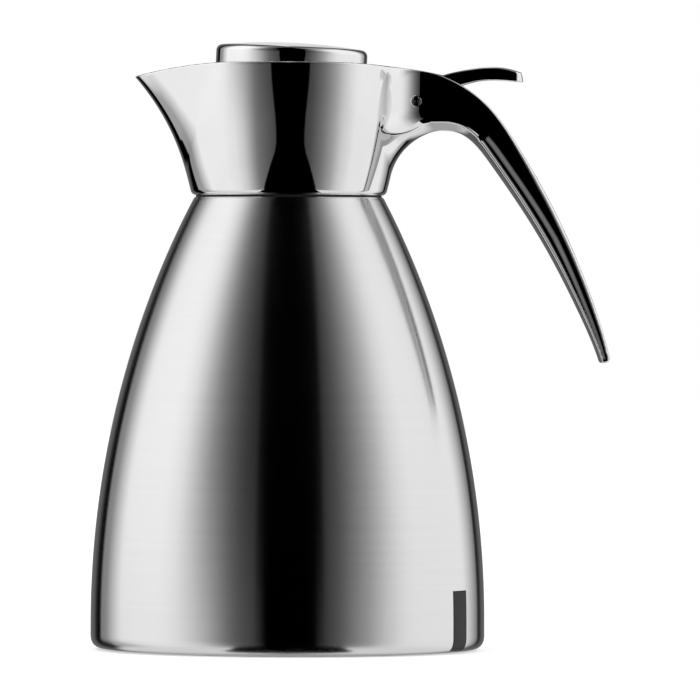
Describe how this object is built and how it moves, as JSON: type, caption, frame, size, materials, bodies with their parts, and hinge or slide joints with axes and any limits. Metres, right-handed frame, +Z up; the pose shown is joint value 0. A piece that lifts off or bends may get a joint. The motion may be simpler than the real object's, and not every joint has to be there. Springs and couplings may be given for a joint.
{
  "type": "thermal carafe",
  "caption": "Double-walled steel thermal carafe with a polished spout head, horn-shaped handle and a sprung flip lid worked by a thumb lever.",
  "frame": {"origin": "centre of the flat face that the carafe stands on, on the body's axis", "axes": "+Z up along the body's axis, +X towards the handle, -X towards the spout, +Y completes the right-handed frame"},
  "size_m": [0.1877, 0.1428, 0.2201],
  "materials": {
    "brushed_shell": "fine horizontal brushing",
    "polished_metal": "mirror polished",
    "inner_steel": "satin",
    "base_steel": "satin",
    "pin_steel": "ground",
    "spring_steel": "drawn wire",
    "black_plastic": "satin moulded",
    "black_rubber": "matte",
    "clear_silicone": "smooth silicone",
    "bush_plastic": "smooth",
    "foam": "fine foam"
  },
  "bodies": {
    "carafe": {"outer_shell": "brushed_shell", "inner_flask": "inner_steel", "base_plate": "base_steel", "seal_off_cap": "base_steel", "getter": "pin_steel", "base_pad": "black_rubber", "neck_thread_ring": "inner_steel", "head_gasket": "black_rubber", "head_casting": "polished_metal", "clamp_nut": "black_plastic", "mouth_gasket": "clear_silicone", "pour_deck": "black_plastic", "hinge_pin": "pin_steel", "return_spring": "spring_steel"},
    "lid": {"hinge_bushes": "bush_plastic", "thumb_lever": "polished_metal", "lid_cap": "polished_metal", "lid_core": "black_plastic", "lid_insulation": "foam", "lid_seal": "clear_silicone", "seal_retainer": "black_plastic", "lid_screws": "pin_steel", "plug_screw": "pin_steel"}
  },
  "joints": [
    {"name": "lid_hinge", "type": "hinge", "parent": "carafe", "child": "lid", "pos_m": [0.046, 0, 0.1988], "axis": [0, 1, 0], "range_deg": [0, 22], "stiffness_Nm_per_rad": 0.1, "springref_deg": -34.38, "deforming": ["return_spring"]}
  ]
}
